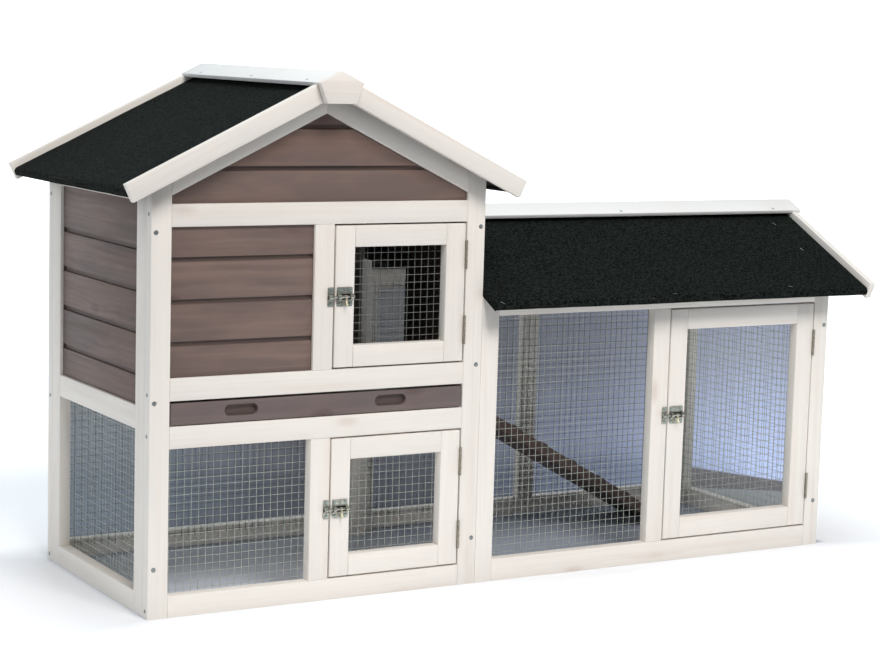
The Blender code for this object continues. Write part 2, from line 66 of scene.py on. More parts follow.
# Roofs: s runs down the slope from the underside's ridge line, h square to it
PITCH = math.radians(25.8)
SIN, COS, TAN = math.sin(PITCH), math.cos(PITCH), math.tan(PITCH)
HOUSE_RIDGE, RUN_RIDGE = (0.300, 0.8374), (0.225, 0.6029)
HOUSE_SLOPE, RUN_SLOPE = 0.3867, 0.2946
HOUSE_ROOF, RUN_ROOF, RUN_CAP_END = (-0.037, 0.495), (0.602, 1.418), 1.428
ROOF_BOARD, FELT, FELT_LIP = 0.0087, 0.0020, 0.015
BARGE, BARGE_H, BARGE_NOTCH = 0.012, (-0.0089, 0.0220), 0.0181
CAP_H, CAP_S = (0.0184, 0.0254), 0.0315
BLOCK_FRONT, BLOCK_FOOT = -0.050, (0.026, 0.8138)
RAFTER = 0.0401          # rafter depth, measured straight down

# Small fits
GAP, PLAY = 0.0003, 0.002
SEAM = 0.0002            # between the boards of one frame
FACE = (0.005, 0.015)    # siding, measured in from the frame's outer face
TONGUE = 0.0042          # how far the tongues lie behind the siding's face
BOARD_PITCH = 0.0662     # one siding board
JOINT = (-0.0042, 0.0033)  # a groove's lower and upper edge, from its level
FRONT_JOINT, SIDE_JOINT, GABLE_JOINT = 0.569, 0.584, 0.7760  # the highest joint of each panel
WIRE_PITCH, WIRE_R, LAP = 0.0127, 0.00045, 0.0125
GRIPS = (0.158, 0.4285)  # middles of the tray's finger slots
ROD_Y, LATCH_H = -0.0052, 0.031  # the bolts' centre line, and the latch plates' height
STRAP_W = 0.0058         # width of a raised strap
KEEPER_W, LATCH_SPAN = 0.011, (0.0035, 0.032)  # the keeper, and the latch from the door's edge
LATCH_SCREWS = (-0.0112, 0.0112)  # heights of the latch screws, from the bolt
SHOT, FINGER = 0.004, 0.0185  # the bolt's reach into the keeper, and its finger from the door's edge
PIN_Y, HINGE_LENGTH, KNUCKLES = -0.0026, 0.048, 5
DOOR_GAP = 0.0009        # the shown doors stand this far inside the CAD's
PAN, PAN_WALL, PAN_LIP = ((0.0165, 0.425), (0.307, 0.331)), 0.0009, 0.005
RAMP_TOP, RAMP_FOOT, RAMP_THICK = Vector((0.6013, 0.343)), Vector((1.208, 0.001)), 0.019
RAMP_Y, CLEATS = (0.243, 0.391), 9
ALONG_X, ALONG_Y, ALONG_Z = Vector((1, 0, 0)), Vector((0, 1, 0)), Vector((0, 0, 1))


def placed(name, data):
    """A new object in the scene."""
    made = bpy.data.objects.new(name, data)
    bpy.context.scene.collection.objects.link(made)
    return made


# ---------- materials
class Look:
    """One procedural material, and short names for the nodes it is made of."""

    def __init__(self, name, roughness=0.6, metallic=0.0, specular=0.5):
        self.material = bpy.data.materials.new(name)
        self.material.use_nodes = True
        self.tree = self.material.node_tree
        self.shader = self.tree.nodes["Principled BSDF"]
        for socket, value in (("Roughness", roughness), ("Metallic", metallic),
                              ("Specular IOR Level", specular)):
            self.shader.inputs[socket].default_value = value

    def node(self, kind, inputs=(), **settings):
        made = self.tree.nodes.new("ShaderNode" + kind)
        for key, value in settings.items():
            setattr(made, key, value)
        for key, value in dict(inputs).items():
            self.feed(made.inputs[key], value)
        return made

    def feed(self, socket, value):
        if isinstance(value, bpy.types.NodeSocket):
            self.tree.links.new(value, socket)
        else:
            socket.default_value = value

    def grain(self):
        """Coordinates along, across and through the board that a point belongs to."""
        return self.node("Attribute", attribute_name="grain").outputs["Vector"]

    def place(self):
        return self.node("TexCoord").outputs["Object"]

    def stretched(self, vector, scale):
        return self.node("Mapping", {"Vector": vector, "Scale": scale}).outputs["Vector"]

    def noise(self, vector, scale=1.0, detail=3.0, rough=0.5, bend=0.0):
        return self.node("TexNoise", {"Vector": vector, "Scale": scale, "Detail": detail,
                                      "Roughness": rough, "Distortion": bend}).outputs["Fac"]

    def streaks(self, vector, stretch, detail=3.0, rough=0.5, bend=0.0):
        return self.noise(self.stretched(vector, stretch), 1.0, detail, rough, bend)

    def cells(self, vector, scale=1.0):
        return self.node("TexVoronoi", {"Vector": vector, "Scale": scale})

    def sums(self, operation, a, b=0.0):
        return self.node("Math", {0: a, 1: b}, operation=operation).outputs[0]

    def plus(self, a, b):
        return self.sums("ADD", a, b)

    def times(self, a, b):
        return self.sums("MULTIPLY", a, b)

    def vector(self, operation, a, b=(0.0, 0.0, 0.0)):
        return self.node("VectorMath", {0: a, 1: b}, operation=operation).outputs

    def parts(self, vector):
        return self.node("SeparateXYZ", {0: vector}).outputs

    def shades(self, cells):
        """Three random shades for each cell."""
        return self.node("SeparateColor", {0: cells.outputs["Color"]}).outputs

    def tone(self):
        """Each board's own random shade."""
        return self.node("Attribute", attribute_name="tone").outputs["Fac"]

    def between(self, value, low, high, to_low=0.0, to_high=1.0):
        return self.node("MapRange", {"Value": value, "From Min": low, "From Max": high,
                                      "To Min": to_low, "To Max": to_high}).outputs["Result"]

    def mix(self, factor, a, b, blend="MIX"):
        made = self.node("Mix", data_type="RGBA", blend_type=blend)
        for index, value in ((0, factor), (6, a), (7, b)):
            if isinstance(value, tuple):
                value = (*value, 1.0)
            self.feed(made.inputs[index], value)
        return made.outputs[2]

    def bump(self, height, distance, strength=1.0):
        made = self.node("Bump", {"Height": height, "Distance": distance, "Strength": strength})
        self.feed(self.shader.inputs["Normal"], made.outputs["Normal"])

    def layers(self, tint, layers):
        """Colours laid over a first one: each shows where its value goes from low to high."""
        for value, low, high, share, colour in layers:
            tint = self.mix(self.between(value, low, high, 0.0, share), tint, colour)
        self.colour(tint)

    def colour(self, value):
        self.feed(self.shader.inputs["Base Color"], value)

    def rough(self, value):
        self.feed(self.shader.inputs["Roughness"], value)


def knots(look, grain, along=6.0, across=17.0, rare=0.60):
    """A mask of sparse knots, and how far each point is from one."""
    cell = look.cells(look.stretched(grain, (along, across, across)))
    apart = cell.outputs["Distance"]
    chosen = look.between(look.shades(cell)[0], rare, rare + 0.02)
    mask = look.times(look.between(apart, 0.16, 0.05), chosen)
    halo = look.times(look.between(apart, 0.45, 0.08), chosen)
    return mask, halo


def grain_lines(look, grain, halo, fine=260.0, rings=62.0):
    """Fine fibres and broader year rings, which bulge round the knots."""
    aside = look.node("CombineXYZ", {"Y": look.times(halo, 0.006)}).outputs[0]
    bent = look.vector("ADD", grain, aside)[0]
    fibres = look.streaks(bent, (7.0, fine, fine), 4.0, 0.6)
    return fibres, look.streaks(bent, (1.6, rings, rings), 2.0, 0.5, 0.4)


def whitewash(name, paint=(0.820, 0.778, 0.720), thin=(0.750, 0.665, 0.580)):
    """Softwood under a thin white wash: faint fibres, warm year rings and pale knots."""
    look = Look(name, roughness=0.62, specular=0.35)
    grain = look.grain()
    mask, halo = knots(look, grain, rare=0.72)
    fibres, ring = grain_lines(look, grain, halo)
    worn = look.streaks(grain, (5.0, 24.0, 24.0), 3.0, 0.6)
    smudge = look.streaks(grain, (9.0, 16.0, 16.0), 2.0)
    lines = look.times(look.between(ring, 0.50, 0.68), look.between(worn, 0.34, 0.62, 0.12, 0.55))
    look.layers(look.mix(lines, paint, thin), (
        (fibres, 0.40, 0.74, 0.16, (0.60, 0.56, 0.52)),
        (smudge, 0.58, 0.78, 0.12, (0.62, 0.65, 0.68)),
        (halo, 0.0, 1.0, 0.12, (0.70, 0.60, 0.52)),
        (mask, 0.0, 1.0, 0.34, (0.52, 0.40, 0.33)),
        (look.tone(), 0.0, 1.0, 0.10, (0.66, 0.60, 0.53))))
    look.rough(look.between(fibres, 0.3, 0.7, 0.55, 0.72))
    look.bump(look.plus(fibres, look.times(ring, 0.8)), 0.00025, 0.5)
    return look.material


def stained(name, light=(0.285, 0.197, 0.158), middle=(0.210, 0.141, 0.116),
            dark=(0.142, 0.103, 0.094), knot=(0.085, 0.055, 0.058)):
    """Softwood under a taupe stain: grey and brown drifts, pale streaks and purplish knots."""
    look = Look(name, roughness=0.58, specular=0.3)
    grain = look.grain()
    mask, halo = knots(look, grain, 5.5, 13.0, 0.50)
    fibres, ring = grain_lines(look, grain, halo, 230.0, 55.0)
    drift = look.streaks(grain, (4.5, 15.0, 15.0), 3.0, 0.55)
    look.layers(middle, (
        (drift, 0.42, 0.60, 1.0, dark),
        (ring, 0.52, 0.66, 0.48, light),
        (fibres, 0.42, 0.75, 0.45, dark),
        (look.tone(), 0.0, 1.0, 0.35, (0.150, 0.112, 0.100)),
        (halo, 0.0, 1.0, 0.30, (0.165, 0.108, 0.096)),
        (mask, 0.0, 1.0, 0.70, knot)))
    look.rough(look.between(fibres, 0.3, 0.7, 0.50, 0.68))
    look.bump(look.plus(fibres, ring), 0.0003, 0.5)
    return look.material


def bare_board(name, pale, deep, line):
    """Sheet board for the roofs and the floor, with flakes and fibres."""
    look = Look(name, roughness=0.75, specular=0.3)
    place = look.place()
    shade = look.shades(look.cells(look.stretched(place, (70.0, 42.0, 60.0))))[0]
    fibres = look.streaks(place, (30.0, 240.0, 240.0), 4.0)
    look.layers(look.mix(shade, deep, pale), ((fibres, 0.4, 0.7, 0.5, line),))
    look.bump(look.plus(fibres, shade), 0.0004, 0.5)
    return look.material


def mineral_felt(name):
    """Roofing felt: very dark green-black mineral grit, with the odd pale grain."""
    look = Look(name, roughness=0.95, specular=0.06)
    place = look.place()
    grit = look.cells(place, 720.0)
    shades = look.shades(grit)
    drift = look.noise(place, 14.0, 3.0, 0.6)
    blotch = look.noise(place, 250.0, 2.0, 0.7)
    look.layers(look.mix(shades[0], (0.0028, 0.0040, 0.0036), (0.0100, 0.0140, 0.0124)), (
        (drift, 0.35, 0.70, 0.55, (0.0040, 0.0052, 0.0043)),
        (blotch, 0.46, 0.60, 0.75, (0.0180, 0.0235, 0.0200)),
        (blotch, 0.52, 0.40, 0.85, (0.0010, 0.0016, 0.0014)),
        (shades[1], 0.965, 0.99, 0.22, (0.100, 0.110, 0.080))))
    look.rough(look.between(shades[2], 0.0, 1.0, 0.80, 0.98))
    mound = look.sums("SUBTRACT", 1.0, grit.outputs["Distance"])
    look.bump(look.plus(mound, look.times(look.noise(place, 1400.0, 2.0), 0.6)), 0.0007, 0.8)
    return look.material


def metal(name, base, dull, roughness, metallic, scale):
    """Plated steel with cloudy dull patches and fine scratches."""
    look = Look(name, metallic=metallic)
    place = look.place()
    cloud = look.noise(place, scale, 4.0, 0.6)
    scratch = look.streaks(place, (2600.0, 300.0, 900.0), 2.0)
    look.layers(base, ((cloud, 0.40, 0.66, 1.0, dull),))
    look.rough(look.between(cloud, 0.3, 0.7, *roughness))
    look.bump(look.plus(cloud, scratch), 0.00008, 0.6)
    return look.material


def spangled(name):
    """Galvanised sheet with its crystal pattern."""
    look = Look(name, metallic=0.85)
    shade = look.shades(look.cells(look.place(), 70.0))[0]
    look.colour(look.mix(shade, (0.42, 0.44, 0.45), (0.60, 0.62, 0.63)))
    look.rough(look.between(shade, 0.0, 1.0, 0.30, 0.48))
    look.bump(look.noise(look.place(), 260.0), 0.0001, 0.4)
    return look.material


WHITE = whitewash("whitewashed_timber")
# The caps' paler, cooler white is painted light: the cool top light on their upper faces.
TOP_LIT_CAP_WHITE = whitewash("whitewashed_caps_painted_top_light", (0.815, 0.818, 0.800), (0.765, 0.715, 0.660))
STAIN = stained("stained_siding")
# A darker stain for the left side wall: painted shade, as that wall gets less light than the front.
SHADED_SIDE_STAIN = stained("stained_side_painted_shade", (0.234, 0.163, 0.133), (0.173, 0.117, 0.097),
                     (0.117, 0.086, 0.078))
GABLE_STAIN = stained("stained_gable", (0.322, 0.214, 0.166), (0.238, 0.153, 0.122),
                      (0.160, 0.112, 0.098))
RAMP_STAIN = stained("stained_ramp", (0.145, 0.082, 0.064), (0.098, 0.055, 0.044),
                     (0.060, 0.036, 0.031), (0.040, 0.024, 0.022))
TRAY_STAIN = stained("stained_tray", (0.196, 0.150, 0.136), (0.164, 0.126, 0.118),
                     (0.128, 0.104, 0.102))
# The tongues' darker stain is painted shade: the grooves in front of them lie in shadow.
TONGUE_SHADE_STAIN = stained("tongues_painted_shade", (0.160, 0.108, 0.090), (0.130, 0.088, 0.075),
                       (0.096, 0.069, 0.062))
PLAIN = bare_board("plain_board_look", (0.54, 0.42, 0.29), (0.40, 0.30, 0.20), (0.30, 0.21, 0.14))
ROOFING = bare_board("roof_board_look", (0.034, 0.031, 0.029), (0.020, 0.018, 0.017),
                     (0.012, 0.011, 0.010))
GRIT = mineral_felt("mineral_felt")
WIRE = metal("galvanised_wire_look", (0.44, 0.47, 0.42), (0.32, 0.35, 0.31), (0.38, 0.6), 0.4, 90.0)
# Darker wire for the upper door: painted shade.
SHADE_WIRE = metal("shaded_wire_look", (0.26, 0.28, 0.255), (0.19, 0.205, 0.185), (0.42, 0.62), 0.4,
                   90.0)
# Darker wire for the rear meshes: painted shade, as they lie in the hutch's shadow.
BACK_SHADE_WIRE = metal("back_wire_painted_shade", (0.150, 0.160, 0.165), (0.105, 0.112, 0.118), (0.5, 0.7), 0.2, 90.0)
ZINC = metal("zinc_plate", (0.47, 0.47, 0.41), (0.25, 0.26, 0.22), (0.24, 0.44), 0.95, 220.0)
SCREW = metal("zinc_screw", (0.33, 0.36, 0.355), (0.18, 0.21, 0.205), (0.32, 0.5), 0.9, 400.0)
LATCH_SCREW = metal("latch_screw", (0.43, 0.50, 0.46), (0.26, 0.32, 0.29), (0.28, 0.45), 0.9, 400.0)
HINGE = metal("hinge_steel", (0.40, 0.37, 0.30), (0.25, 0.23, 0.18), (0.4, 0.6), 0.85, 300.0)
# Near-black for the latch plate's window: painted shadow.
LATCH_SHADOW = metal("latch_painted_shadow", (0.030, 0.031, 0.028), (0.016, 0.017, 0.015), (0.6, 0.8), 0.2, 300.0)
BRASS = metal("brass_finger", (0.88, 0.80, 0.58), (0.70, 0.60, 0.40), (0.25, 0.42), 0.85, 300.0)
SHEET = spangled("galvanised_tray")


# ---------- shapes
AT = {"Y": lambda a, b, c: (a, c, b), "X": lambda a, b, c: (c, a, b), "Z": lambda a, b, c: (a, b, c)}


class Shape:
    """A mesh under construction; its boards remember their own grain and shade."""

    def __init__(self):
        self.mesh = bmesh.new()
        self.grain = self.mesh.verts.layers.float_vector.new("grain")
        self.tone = self.mesh.verts.layers.float.new("tone")

    def mark(self, verts, along, across):
        """Grain coordinates: length, width and thickness of the board, from a place of its own."""
        start = Vector([dice.uniform(0, 9) for _ in range(3)])
        tone = dice.random()
        third = along.cross(across)
        for vert in verts:
            vert[self.grain] = start + Vector([vert.co.dot(axis) for axis in (along, across, third)])
            vert[self.tone] = tone

    def board(self, outline, span, normal, along, bevel=0.0008, slope_top=0.0, segments=2):
        """A bevelled board: an outline square to an axis, thick between span. slope_top chamfers its
        upper front edge, which is the one at span[0]."""
        before = set(self.mesh.verts)
        rings = []
        top = max(point[1] for point in outline) - 1e-6
        for level, drop in zip(span, (slope_top, 0.0)):
            rings.append([self.mesh.verts.new(AT[normal](a, b - drop if b > top else b, level))
                          for a, b in outline])
        faces = [self.mesh.faces.new(rings[0]), self.mesh.faces.new(rings[1][::-1])]
        for i in range(len(outline)):
            j = (i + 1) % len(outline)
            faces.append(self.mesh.faces.new((rings[0][j], rings[0][i], rings[1][i], rings[1][j])))
        borders = list({edge for face in faces for edge in face.edges})
        bmesh.ops.recalc_face_normals(self.mesh, faces=faces)
        if bevel:
            bmesh.ops.bevel(self.mesh, geom=borders, offset=bevel, segments=segments, profile=0.5,
                            affect="EDGES")
        across = {"Y": Vector((-along.z, 0, along.x)), "X": Vector((0, -along.z, along.y)),
                  "Z": Vector((-along.y, along.x, 0))}[normal]
        self.mark([vert for vert in self.mesh.verts if vert not in before], along, across)

    def skin(self, rings):
        """A closed skin over rings of points."""
        for low, high in zip(rings, rings[1:]):
            for i in range(len(low)):
                j = (i + 1) % len(low)
                self.mesh.faces.new((low[i], low[j], high[j], high[i]))
        self.mesh.faces.new(rings[0][::-1])
        self.mesh.faces.new(rings[-1])

    def circle(self, matrix, radius, sides, height=0.0, pinch=1.0):
        """A ring of points about Z, moved by a matrix; pinch draws all but four of them in."""
        ring = []
        for step in range(sides):
            reach = radius * pinch if step % (sides // 4) else radius
            spot = Vector((*polar(reach, 360 * step / sides), height))
            ring.append(self.mesh.verts.new(matrix @ spot))
        return ring

    def tube(self, points, radius, sides=6):
        """A round wire through points, closed at both ends."""
        rings = []
        for number, point in enumerate(points):
            after = points[min(number + 1, len(points) - 1)]
            ahead = (Vector(after) - Vector(points[max(number - 1, 0)])).normalized()
            side = ahead.orthogonal().normalized()
            turn = Matrix((side, ahead.cross(side), ahead)).transposed().to_4x4()
            rings.append(self.circle(Matrix.Translation(point) @ turn, radius, sides))
        self.skin(rings)

    def turned(self, profile, matrix, sides=16, star=None):
        """A solid of revolution about Z, then moved; star pinches its last rings into a cross."""
        rings = []
        for number, (radius, height) in enumerate(profile):
            pinch = star[1] if star and number >= len(profile) - star[0] else 1.0
            rings.append(self.circle(matrix, radius, sides, height, pinch))
        self.skin(rings)

    def piece(self, name, look, body, slot, replaces=(), angle=40):
        """Makes the mesh a piece of the hutch that rides on a body. Edges over angle stay sharp."""
        data = bpy.data.meshes.new(name)
        self.mesh.to_mesh(data)
        self.mesh.free()
        data.materials.append(look)
        data.shade_smooth()
        data.set_sharp_from_angle(angle=math.radians(angle))
        made = placed(name, data)
        made.location = ORIGIN
        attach(made, body)
        if replaces:
            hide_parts(*replaces)

    def timber(self, name, node, body="root", look=WHITE):
        """Makes the mesh a whitewashed piece in place of a CAD node."""
        self.piece(name, look, body, "whitewashed_wood", [node])

    def fitting(self, name, look, body="root", node=None, angle=40):
        """Makes the mesh a metal piece, in place of a CAD node if one is given."""
        self.piece(name, look, body, "zinc_fittings", [node] if node else (), angle)


def rect(across, up):
    """A rectangle's outline."""
    return [(across[0], up[0]), (across[1], up[0]), (across[1], up[1]), (across[0], up[1])]


def grown(span, by):
    """A span made longer at both ends."""
    return span[0] - by, span[1] + by


def edges(span, width):
    """The two strips of a width at a span's ends."""
    return (span[0], span[0] + width), (span[1] - width, span[1])


def polar(radius, degrees):
    angle = math.radians(degrees)
    return radius * math.cos(angle), radius * math.sin(angle)


def on_slope(ridge, side, s, h):
    """A point of a roof's cross-section: side -1 or 1, s down the slope, h square to it."""
    return ridge[0] + side * (s * COS + h * SIN), ridge[1] - s * SIN + h * COS


def under_roof(ridge, across, drop=GAP):
    """The height of a roof's underside, or a drop below it."""
    return ridge[1] - abs(across - ridge[0]) * TAN - drop


def up_to_roof(ridge, span, feet):
    """A board's outline between its two feet and the roof's underside."""
    return [*zip(span, feet), *((across, under_roof(ridge, across)) for across in span[::-1])]


def clipped(outline, low, high):
    """The part of a convex outline between two heights."""
    for level, keep in ((low, 1), (high, -1)):
        result = []
        for start, end in zip(outline, outline[1:] + outline[:1]):
            inside = [(point[1] - level) * keep >= -1e-9 for point in (start, end)]
            if inside[0]:
                result.append(start)
            if inside[0] != inside[1]:
                share = (level - start[1]) / (end[1] - start[1])
                result.append((start[0] + (end[0] - start[0]) * share, level))
        outline = [point for i, point in enumerate(result)
                   if math.dist(point, result[i - 1]) > 1e-5]
    return outline


def shortened(outline, by):
    """The same outline drawn in by a little at both ends."""
    ends = [pick(point[0] for point in outline) for pick in (min, max)] if outline else (0, 1)
    middle, share = sum(ends) / 2, 1 - 2 * by / max(ends[1] - ends[0], 4 * by)
    return [(middle + (across - middle) * share, up) for across, up in outline]


# ---------- frames
def end_frame(shape, y, rails, posts):
    """A gable frame of the house: full-height stiles, rails, lengths of post and two rafters."""
    for x in edges((0, HOUSE_W), STILE):
        shape.board(up_to_roof(HOUSE_RIDGE, x, (0, 0)), y, "Y", ALONG_Z)
    inner = (STILE + SEAM, HOUSE_W - STILE - SEAM)
    for z in rails:
        shape.board(rect(inner, z), y, "Y", ALONG_X)
    for z in posts:
        shape.board(rect(POST, grown(z, -SEAM)), y, "Y", ALONG_Z)
    for side in (-1, 1):
        x = sorted(HOUSE_W / 2 + side * out for out in (SEAM, HOUSE_W / 2 - STILE - SEAM))
        feet = [under_roof(HOUSE_RIDGE, edge, RAFTER) for edge in x]
        shape.board(up_to_roof(HOUSE_RIDGE, x, feet), y, "Y", Vector((COS, 0, -side * SIN)))


def side_frame(shape, x, bottom_rail):
    """A side frame of the house, between its gable frames."""
    top = under_roof(HOUSE_RIDGE, 0)
    for y in ((BOARD + GAP, SIDE[0]), (SIDE[1], DEPTH - BOARD - GAP)):
        shape.board(rect(y, (0, top)), x, "X", ALONG_Z)
    rails = [SIDE_RAIL, (EAVE_RAIL, top)] + ([(0, SILL)] if bottom_rail else [])
    for z in rails:
        shape.board(rect(grown(SIDE, -SEAM), z), x, "X", ALONG_Y)


def house_frames():
    """The house's front, rear and side frames."""
    doorways = [(SILL, LOWER_TOP), (UPPER_SILL, UPPER_TOP)]
    for name, y, rails, posts in (
            ("front", (0, BOARD), [(0, SILL), (LOWER_TOP, SLOT[0]), (SLOT[1], UPPER_SILL)], doorways),
            ("rear", (DEPTH - BOARD, DEPTH), [(CLEAR, SILL), SIDE_RAIL], [])):
        shape = Shape()
        end_frame(shape, y, [*rails, (UPPER_TOP, PLATE)], posts)
        shape.timber(f"house_{name}_timber", f"house_{name}_frame")
    for name, x, rail in zip(("left", "right"), edges((0, HOUSE_W), BOARD), (True, False)):
        shape = Shape()
        side_frame(shape, x, rail)
        shape.timber(f"house_{name}_timber", f"house_{name}_frame")


def run_frames():
    """The run's front, rear and end frames."""
    for name, y, right, sill, post in (
            ("front", (0, BOARD), RUN_DOORWAY[1], (0, RUN_SILL), grown((RUN_SILL, RUN_TOP[0]), -SEAM)),
            ("rear", (DEPTH - BOARD, DEPTH), RUN_END - STILE, (CLEAR, SILL), (SILL, RUN_TOP[0]))):
        shape = Shape()
        for x in ((HOUSE_W + GAP, HOUSE_W + STILE), (right, RUN_END)):
            shape.board(rect(x, (0, RUN_TOP[1])), y, "Y", ALONG_Z)
        for rail in (sill, RUN_TOP):
            shape.board(rect((HOUSE_W + STILE + SEAM, right - SEAM), rail), y, "Y", ALONG_X)
        shape.board(rect(RUN_POST, post), y, "Y", ALONG_Z)
        shape.timber(f"run_{name}_timber", f"run_{name}_frame")

    end = Shape()
    x = (RUN_END - BOARD, RUN_END)
    depth = (BOARD + GAP, DEPTH - BOARD - GAP)
    for y in ((depth[0], SIDE[0]), (SIDE[1], depth[1])):
        end.board(up_to_roof(RUN_RIDGE, y, (0, 0)), x, "X", ALONG_Z)
    for rail in ((0, SILL), RUN_TOP):
        end.board(rect(SIDE, rail), x, "X", ALONG_Y)
    for side in (-1, 1):
        y = sorted((RUN_RIDGE[0], SIDE[0] if side < 0 else SIDE[1]))
        feet = [max(under_roof(RUN_RIDGE, edge, RAFTER), RUN_TOP[1]) for edge in y]
        end.board(up_to_roof(RUN_RIDGE, y, feet), x, "X", Vector((0, COS, -side * SIN)))
    end.timber("run_end_timber", "run_end_frame")


# ---------- siding
def joint_levels(highest, bottom):
    """The levels of a panel's board joints, downwards from its highest."""
    count = int((highest - bottom) / BOARD_PITCH) + 1
    return [highest - BOARD_PITCH * number for number in range(count)]


def siding(name, panels, face, outward, normal, joints, node, look=STAIN):
    """Boards whose lower edges overhang a shadowed groove, in front of their own tongues."""
    shape, tongues = Shape(), Shape()
    near, far = face - outward * FACE[0], face - outward * FACE[1]
    tongue = face - outward * (FACE[0] + TONGUE)
    along = ALONG_X if normal == "Y" else ALONG_Y
    for outline in panels:
        top, bottom = (pick(point[1] for point in outline) for pick in (max, min))
        levels = [top, *[level for level in joints if bottom < level < top], bottom]
        for upper, lower in zip(levels, levels[1:]):
            low = lower + (JOINT[1] if lower > bottom else 0)
            high = upper + (JOINT[0] if upper < top else 0)
            band = shortened(clipped(outline, low, high), 0.0009)
            if len(band) > 2 and high - low > 0.003:
                chamfer = 0.0010 if upper < top and len(band) == 4 else 0.0
                shape.board(band, (near, tongue), normal, along, 0.0005, chamfer)
        # The tongues take the darker stain: painted shade in the grooves.
        tongues.board(outline, (tongue + (far - tongue) * 0.02, far), normal, along, 0.0)
        # Thin strips in the tongues' dark stain cover the stiles' reveals at the panel ends: painted
        # shadow of the gap there.
        if len(outline) == 4:
            for end in edges([pick(point[0] for point in outline) for pick in (min, max)], 0.0007):
                tongues.board(rect(end, (bottom, top)), (near - outward * 0.0004, tongue), normal,
                              ALONG_Z, 0.0)
    shape.piece(name, look, "root", "stained_board", [node], 30)
    tongues.piece(f"{name}_tongues", TONGUE_SHADE_STAIN, "root", "stained_board", (), 30)


def gable_opening(ridge, span, base):
    """The opening inside a gable's rafters."""
    drop = RAFTER + GAP / COS
    reach = min((ridge[1] - drop - base - GAP) / TAN, (span[1] - span[0]) / 2 - GAP)
    foot, middle = base + GAP, ridge[0]
    over = [(across, under_roof(ridge, across, drop))
            for across in (middle + reach, middle, middle - reach)]
    return [(middle - reach, foot), (middle + reach, foot),
            *(point for point in over if point[1] > foot + 1e-4)]


def all_siding():
    sides = joint_levels(SIDE_JOINT, SIDE_RAIL[1])
    panel = rect(grown((STILE, POST[0]), -GAP), grown((UPPER_SILL, UPPER_TOP), -GAP))
    siding("house_front_boards", [panel], 0, -1, "Y", joint_levels(FRONT_JOINT, UPPER_SILL),
           "house_front_siding")
    inner = (STILE, HOUSE_W - STILE)
    siding("house_rear_boards", [rect(grown(inner, -GAP), (SIDE_RAIL[1] + GAP, UPPER_TOP - GAP))],
           DEPTH, 1, "Y", sides, "house_rear_siding")
    gable = gable_opening(HOUSE_RIDGE, inner, PLATE)
    for name, face, outward in (("front", 0, -1), ("rear", DEPTH, 1)):
        siding(f"house_{name}_gable_boards", [gable], face, outward, "Y",
               joint_levels(GABLE_JOINT, PLATE), f"house_{name}_gable", GABLE_STAIN)
    low, high = SIDE_RAIL[1] + GAP, EAVE_RAIL - GAP
    y = grown(SIDE, -GAP)
    siding("house_left_boards", [rect(y, (low, high))], 0, -1, "X", sides, "house_left_siding",
           SHADED_SIDE_STAIN)
    beside = rect((y[0], WALL_DOORWAY[0]), (low, WALL_DOORWAY[1]))
    over = rect(y, (WALL_DOORWAY[1] + 0.0001, high))
    siding("house_right_boards", [beside, over], HOUSE_W, 1, "X", sides, "house_right_siding")
    siding("run_end_gable_board", [gable_opening(RUN_RIDGE, SIDE, RUN_TOP[1])], RUN_END, 1, "X", [],
           "run_end_gable")


# ---------- welded mesh
def wires(name, across, up, face, outward, normal, look=WIRE, body="root"):
    """Half-inch welded mesh over a window: upright wires behind level ones, none quite straight."""
    across, up = grown(across, LAP), grown(up, LAP)
    shape = Shape()
    for lengths, places, depth, level in ((across, up, 0.0005, True), (up, across, 0.0012, False)):
        start = places[0] + dice.uniform(0.2, 0.8) * WIRE_PITCH
        count = int((places[1] - start) / WIRE_PITCH) + 1
        steps = max(2, int((lengths[1] - lengths[0]) / 0.05))
        lean = dice.uniform(-0.0012, 0.0012)
        for number in range(count):
            rail = start + number * WIRE_PITCH
            points = []
            for step in range(steps + 1):
                share = step / steps
                run = lengths[0] + (lengths[1] - lengths[0]) * share
                drift = lean * share + 0.0011 * noise.noise((run * 7, rail * 5, depth * 900 + 3))
                spot = (run, rail + drift) if level else (rail + drift, run)
                points.append(Vector(AT[normal](*spot, face - outward * depth)))
            shape.tube(points, WIRE_R)
    shape.piece(f"{name}_wires", look, body, "galvanised_wire", [f"{name}_mesh"], 80)


def all_wires():
    low, tall, left = (SILL, SIDE_RAIL[0]), (SILL, RUN_TOP[0]), HOUSE_W + STILE
    for name, across, up, face, outward, normal, look in (
            ("house_front", (STILE, POST[0]), (SILL, LOWER_TOP), BOARD, -1, "Y", WIRE),
            ("house_rear", (STILE, HOUSE_W - STILE), low, DEPTH - BOARD, 1, "Y", BACK_SHADE_WIRE),
            ("house_left", SIDE, low, BOARD, -1, "X", WIRE),
            ("run_front", (left, RUN_POST[0]), (RUN_SILL, RUN_TOP[0]), BOARD, -1, "Y", WIRE),
            ("run_rear", (left, RUN_END - STILE), tall, DEPTH - BOARD, 1, "Y", BACK_SHADE_WIRE),
            ("run_end", SIDE, tall, RUN_END - BOARD, 1, "X", WIRE)):
        wires(name, across, up, face, outward, normal, look)


# ---------- roofs
def rounded(points, radii, steps=4):
    """An outline with some of its corners rounded."""
    result = []
    for number, (corner, radius) in enumerate(zip(points, radii)):
        corner = Vector(corner)
        if not radius:
            result.append(corner)
            continue
        before = (Vector(points[number - 1]) - corner).normalized()
        after = (Vector(points[(number + 1) % len(points)]) - corner).normalized()
        half = before.angle(after) / 2
        reach = radius / math.tan(half)
        centre = corner + (before + after).normalized() * radius / math.sin(half)
        start, end = corner + before * reach - centre, corner + after * reach - centre
        for step in range(steps + 1):
            spoke = start.lerp(end, step / steps)
            result.append(centre + spoke.normalized() * radius)
    return result


def fine(points, step=0.024):
    """The same closed outline with points no further apart than step."""
    result = []
    for start, end in zip(points, points[1:] + points[:1]):
        count = max(1, math.ceil((end - start).length / step))
        result += [start.lerp(end, number / count) for number in range(count)]
    return result


